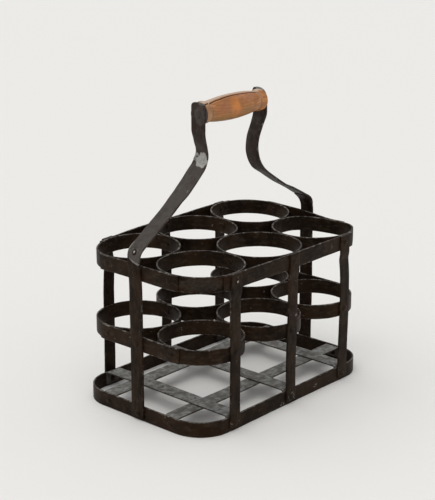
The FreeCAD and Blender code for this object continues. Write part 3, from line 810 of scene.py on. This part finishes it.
def makeAllRivets():
    thick = strip["thickness"]
    hollow = ringRadius - thick
    tab = thick + grid["thickness"]
    baseLevel = (bandLow.z + bandHigh.z) / 2
    level = {t: tierTop[t] - strip["height"] / 2 for t in tiers}
    groups = {node: [] for node in frame["nodes"] if node.endswith("_rivets")}

    def join(node, outer, inner, outward):    # a head on both sides
        outward = Vector(outward)
        groups[node] += [(Vector(outer), outward), (Vector(inner), -outward)]

    for column, x in columnX.items():
        for row, sign in rowSign.items():
            out = (0, sign, 0)
            face = halfWidth + post["thickness"]
            ringFace = sign * (abs(rowY[row]) + hollow)
            z = level["upper"]
            topX = x + postLean(column, row, z)
            join("upper_side_rivets", (topX, sign * (face + thick), z), (topX, ringFace, z), out)
            z = level["middle"]
            join("middle_side_rivets", (x, sign * face, z), (x, ringFace, z), out)
            join("base_side_rivets", (x, sign * face, baseLevel), (x, sign * (halfWidth - tab), baseLevel), out)
    for end, sign in endSign.items():
        out = (sign, 0, 0)
        face = sign * (halfLength + handle["thickness"])
        back = sign * (halfLength - thick)
        for z in (*level.values(), baseLevel):
            join("end_upright_rivets", (face, 0, z), (back, 0, z), out)
        face = sign * halfLength
        ringFace = sign * (columnX["far"] + hollow)
        for y in rowY.values():
            for z in level.values():
                join("end_strap_rivets", (face, y, z), (ringFace, y, z), out)
            join("base_strip_rivets", (face, y, baseLevel), (sign * (halfLength - tab), y, baseLevel), out)
        lean = radians(handle["lapRivetTurn"])
        over = Vector((sign * cos(lean), 0, sin(lean)))
        x, z = bendMiddle(end)
        middle = Vector((sign * x, 0, z))
        outer = strapBend + handle["thickness"] * (handle[end]["tailKeep"] - 0.5)
        inner = handle["shoulderRadius"] - rivet["sunk"]
        join("handle_lap_rivets", easedBend(middle + over * outer, end), easedBend(middle + over * inner, end), over)
    for z in level.values():
        for y in rowY.values():
            for x in (columnX["near"], columnX["middle"]):
                join("ring_link_rivets", (x + hollow, y, z), (x + pitch - hollow, y, z), (-1, 0, 0))
    for node, spots in groups.items():
        makeRivets(node, spots)
    print("rivets:", sum(len(spots) for spots in groups.values()) // 2)


# turned pieces: a profile of (along X, radius) pairs spun about the grip's axis
def turnedMesh(name, profile, around, shape):
    shell = bmesh.new()
    rings = []
    for along, radius in profile:
        ring = []
        for i in range(around):
            angle = 2 * pi * i / around
            place = Vector((along, radius * sin(angle), radius * cos(angle)))
            ring.append(shell.verts.new(gripAxis + shape(place, angle)))
        rings.append(ring)
    for one, two in zip(rings, rings[1:] + rings[:1]):
        for i in range(around):
            j = (i + 1) % around
            shell.faces.new((one[i], one[j], two[j], two[i]))
    bmesh.ops.recalc_face_normals(shell, faces=shell.faces)
    mesh = bpy.data.meshes.new(name)
    shell.to_mesh(mesh)
    shell.free()
    mesh.polygons.foreach_set("use_smooth", [True] * len(mesh.polygons))
    return mesh


grip = {
    "middle": 0.0152, "end": 0.012, "bead": 0.0134, "beadEnd": 0.0128, "beadWidth": 0.009, "groove": 0.011,
    "grooveWidth": 0.002, "core": 0.009, "bore": 0.00408, "play": 0.0002, "topGap": 0.00005, "around": 300,
    "step": 0.0006, "disc": {"near": 0.013, "far": 0.01}, "discThickness": 0.001, "discBore": 0.006,
    "discDrop": 0.00195, "discSoft": 0.0003, "discAround": 96, "rodHead": 0.0056, "rodRise": 0.0016, "flats": 0.0003,
    "flatsKeep": 0.00025, "crackHalf": 0.001, "crackDepth": 0.0015, "crackWander": 0.035, "crackEnd": 0.043,
    "crackFade": 0.012, "paleHalf": 0.0055, "bentFrom": -0.035, "bentTo": 0.05, "bent": Vector((0, -0.0013, 0.0011)),
    "crack": ((-0.056, -38), (-0.049, -34), (-0.042, -29), (-0.03, -24), (-0.014, -21), (0.000, -21), (0.012, -22),
              (0.024, -23), (0.034, -24), (0.044, -25), (0.06, -25))}


def gripRadius(x, half):
    beadStart = half - grip["beadWidth"]
    barrelEnd = beadStart - grip["grooveWidth"]
    x = abs(x)
    if x <= barrelEnd:
        sag = grip["middle"] - grip["end"]
        bow = (barrelEnd ** 2 + sag ** 2) / (2 * sag)
        return grip["middle"] - bow + sqrt(bow ** 2 - x ** 2)
    if x < beadStart:
        share = (x - barrelEnd) / grip["grooveWidth"]
        return grip["groove"] + (grip["end"] - grip["groove"]) * max(0.0, 1 - 4 * share * (1 - share)) ** 2
    share = (x - beadStart) / grip["beadWidth"]
    ends = grip["groove"] + (grip["beadEnd"] - grip["groove"]) * share
    return ends + (grip["bead"] - ends) * sqrt(max(0.0, 1 - (2 * share - 1) ** 2))


# how far round the barrel a point lies from the drying crack, and how open the crack is there
def crackGap(x, angle, radius):
    aim = radians(stepped(grip["crack"], x)) + grip["crackWander"] * noise.noise(Vector((x * 320, 4.0, 0)))
    away = (angle - aim + pi) % (2 * pi) - pi
    fade = clamped((grip["crackEnd"] - x) / grip["crackFade"])
    return away * radius, fade * (0.8 + 0.5 * noise.noise(Vector((x * 140, 9.0, 0))))


# a thin dark split with the wood lifted a little along it, and soft flats from the hands
def wornBarrel(place, angle):
    radius = hypot(place.y, place.z)
    if radius < grip["core"]:
        return place
    gap, opened = crackGap(place.x, angle, radius)
    half = grip["crackHalf"] * max(0.35, opened)
    depth = grip["crackDepth"] * opened * max(0.0, 1 - (gap / half) ** 2)
    flats = grip["flats"] * noise.noise(Vector((place.x * 40, sin(angle) * 1.6, cos(angle) * 1.6)))
    scale = (radius - depth - grip["flatsKeep"] + min(grip["flatsKeep"], flats)) / radius
    share = eased((place.x - grip["bentFrom"]) / (grip["bentTo"] - grip["bentFrom"]))
    shaped = Vector((place.x, place.y * scale, place.z * scale)) + grip["bent"] * share
    shaped.z = min(shaped.z, cadHigh.z - gripAxis.z - grip["topGap"])
    return shaped


def makeGrip():
    half = handle["gripSpan"] / 2 - grip["discThickness"] - grip["play"]
    count = round(2 * half / grip["step"])
    along = [-half + 2 * half * i / count for i in range(count + 1)]
    profile = [(x, gripRadius(x, half)) for x in along]
    profile += [(half, grip["bore"]), (-half, grip["bore"])]
    mesh = turnedMesh("grip", profile, grip["around"], wornBarrel)
    crack = mesh.attributes.new("crack", "FLOAT", "POINT").data
    pale = mesh.attributes.new("pale", "FLOAT", "POINT").data
    for i in range(len(mesh.vertices)):    # ring by ring, as turnedMesh lays them
        x, radius = profile[i // grip["around"]]
        if radius > grip["core"]:
            gap, opened = crackGap(x, 2 * pi * (i % grip["around"]) / grip["around"], radius)
            crack[i].value = max(0.0, 1 - abs(gap) / grip["crackHalf"]) * opened
            pale[i].value = max(0.0, 1 - abs(gap - grip["paleHalf"]) / grip["paleHalf"])
    mesh.materials.append(gripWood)
    addPiece(mesh, "gripWood", ["grip"], "grip", warp=False)
    soft = grip["discSoft"]
    outer = handle["gripSpan"] / 2
    inner = outer - grip["discThickness"]
    whole = bmesh.new()
    for end, sign in endSign.items():
        edge, bore = grip["disc"][end], grip["discBore"]
        rim = [(inner, edge - soft), (inner + soft, edge), (outer - soft, edge), (outer, edge - soft),
               (outer, bore + soft), (outer - soft, bore), (inner + soft, bore), (inner, bore + soft)]
        whole.from_mesh(turnedMesh("disc", [(sign * x, r) for x, r in rim], grip["discAround"],
                                   lambda place, angle: place - Vector((0, 0, grip["discDrop"]))))
    discs = bpy.data.meshes.new("gripDiscs")
    whole.to_mesh(discs)
    whole.free()
    discs.materials.append(discIron)
    addPiece(discs, "gripDiscs", ["grip_discs"], warp=False)
    face = outer + handle["thickness"]
    makeRivets("grip_rod", [(gripAxis + Vector((sign * face, 0, 0)), Vector((sign, 0, 0))) for sign in (-1, 1)],
               grip["rodHead"], grip["rodRise"], handleIron, warp=False)
    print("grip ready")


wood = {"light": (0.56, 0.232, 0.074), "dark": (0.31, 0.118, 0.035), "ring": (0.22, 0.086, 0.023),
        "orange": (0.66, 0.225, 0.048), "mauve": (0.33, 0.125, 0.066), "rose": (0.52, 0.215, 0.118),
        "pale": (0.47, 0.3, 0.185), "grey": (0.34, 0.25, 0.175), "pore": (0.11, 0.05, 0.022),
        "olive": (0.29, 0.145, 0.036), "split": (0.018, 0.01, 0.007), "weathered": (0.52, 0.41, 0.32)}
woodScale = {"grain": (10.0, 210.0, 210.0), "pores": (70.0, 1000.0, 1000.0), "cloud": 45.0, "rings": 150.0}
# broad tones of the wood: colour, place from the middle of the grip, reach and strength
toneSpots = (("olive", (-0.018, -0.008, -0.013), (0.04, 0.012, 0.01), 0.9),
             ("olive", (0.014, -0.013, -0.005), (0.012, 0.009, 0.007), 0.7),
             ("mauve", (-0.022, -0.013, 0.004), (0.012, 0.009, 0.007), 0.6),
             ("rose", (0.018, -0.011, 0.01), (0.018, 0.009, 0.007), 0.6),
             ("orange", (-0.004, -0.0145, 0.002), (0.009, 0.01, 0.011), 0.8))


def oldWood():
    material, tree, shader = newMaterial("gripWood")
    place = tree.nodes.new("ShaderNodeTexCoord").outputs["Object"]
    centred = addNode(tree, "ShaderNodeMapping", Vector=place, Location=-gripAxis)
    along = addNode(tree, "ShaderNodeSeparateXYZ", Vector=centred).outputs["X"]

    def stretched(scale):
        return addNode(tree, "ShaderNodeMapping", Vector=centred, Scale=scale)

    grain = speckle(stretched(woodScale["grain"]), 1.0, 6.0, 0.62, 0.4)
    pores = speckle(stretched(woodScale["pores"]), 1.0, 3.0, 0.6)
    cloud = speckle(centred, woodScale["cloud"], 4.0)
    # growth rings about a heart that lies outside the barrel
    heart = addNode(tree, "ShaderNodeMapping", Vector=centred, Location=(0, -0.014, 0.03), Scale=(0.35, 1, 1))
    rings = addNode(tree, "ShaderNodeTexWave", {"wave_type": "RINGS", "rings_direction": "X"}, Vector=heart,
                    Scale=woodScale["rings"], Distortion=2.2, Detail=3.0)
    wire(rings, {"Detail Scale": 0.6})
    # broad tones, a paler near end, grey in the far groove, then pores, pale fibres and the dark of the crack
    layers = [(times(ramp(rings.outputs["Fac"], 0.55, 1.0), 0.45), "ring")]
    for tone, away, reach, much in toneSpots:
        spot = surfaceSpot(gripAxis + Vector(away), reach, 1.0, much)
        layers.append((spotMask(place, spot, 0.1, 1.5), tone))
    nearEnd = ramp(plus(along, scaled(cloud, 0.016, -0.008)), -0.0345, -0.0475)
    farGroove = calc("ABSOLUTE", calc("SUBTRACT", along, 0.0412))
    fibres = ramp(plus(fromMesh(tree, "pale"), scaled(grain, 1.2, -0.6)), 0.1, 0.7)
    layers += [(times(nearEnd, 0.55), "pale"), (times(ramp(farGroove, 0.004, 0.0004), 0.5), "grey"),
               (times(ramp(cloud, 0.47, 0.68), 0.55), "ring"), (times(ramp(pores, 0.58, 0.7), 0.6), "pore"),
               (times(fibres, 0.8), "weathered"), (ramp(fromMesh(tree, "crack"), 0.05, 0.3), "split")]
    colour = blendColour(ramp(grain, 0.34, 0.66), wood["dark"], wood["light"])
    for mask, tone in layers:
        colour = blendColour(mask, colour, wood[tone])
    height = plus(times(grain, 0.7), times(pores, 0.3))
    bump = addNode(tree, "ShaderNodeBump", Height=height, Strength=0.4, Distance=0.0008)
    wire(shader, {"Base Color": colour, "Roughness": scaled(grain, 0.22, 0.36), "Specular IOR Level": 0.35,
                  "Normal": bump})
    return material


gripWood = oldWood()
makeRings()
makeStraps()
makeBase()
makeSidePosts()
makeHandle()
makeAllRivets()
makeGrip()

# pale floor, soft light, and the camera at the photograph's angle
stage = {"floor": (0.83, 0.825, 0.81), "rough": 0.8, "size": 40.0, "sky": (1.0, 0.995, 0.985), "level": 0.62,
         "lit": (0, 0, 0.15)}


def makeStage():
    material, tree, shader = newMaterial("paleFloor")
    wire(shader, {"Base Color": (*stage["floor"], 1.0), "Roughness": stage["rough"]})
    mesh = bpy.data.meshes.new("floor")
    half = stage["size"] / 2
    mesh.from_pydata([(-half, -half, 0), (half, -half, 0), (half, half, 0), (-half, half, 0)], [], [(0, 1, 2, 3)])
    mesh.materials.append(material)
    floor = addObject("floor", mesh)
    world = bpy.data.worlds.new("studio")
    scene.world = world
    world.use_nodes = True
    tree = world.node_tree
    tree.nodes.clear()
    sky = addNode(tree, "ShaderNodeBackground", Color=(*stage["sky"], 1.0), Strength=stage["level"])
    addNode(tree, "ShaderNodeOutputWorld", Surface=sky)


def aimed(name, data, place, target):
    holder = addObject(name, data)
    holder.location = place
    holder.rotation_euler = (Vector(target) - Vector(place)).to_track_quat("-Z", "Y").to_euler()
    return holder


lamps = {"overhead": {"place": (-0.5, 0.4, 2.2), "spread": 75.0, "power": 1.15, "tint": (1.0, 0.99, 0.97)},
         "window": {"place": (-1.5, -0.9, 1.5), "spread": 50.0, "power": 0.25, "tint": (1.0, 0.98, 0.95)}}


def makeLamps():
    for name, lamp in lamps.items():
        light = bpy.data.lights.new(name, "SUN")
        light.energy = lamp["power"]
        light.angle = radians(lamp["spread"])
        light.color = lamp["tint"]
        aimed(name, light, lamp["place"], stage["lit"])


camera = {"place": (-1.17226, -1.03347, 0.65411), "target": (0.03982, 0.051, 0.14942), "roll": 0.11,
          "focalPixels": 1370.5, "imageHeight": 500.0, "sensor": 36.0}


def makeCamera():
    data = bpy.data.cameras.new("camera")
    data.sensor_width = camera["sensor"]
    data.lens = camera["focalPixels"] / camera["imageHeight"] * camera["sensor"]
    scene.camera = aimed("camera", data, camera["place"], camera["target"])
    scene.camera.rotation_euler.rotate_axis("Z", radians(camera["roll"]))


makeStage()
makeLamps()
makeCamera()
scene.view_settings.view_transform = "Standard"
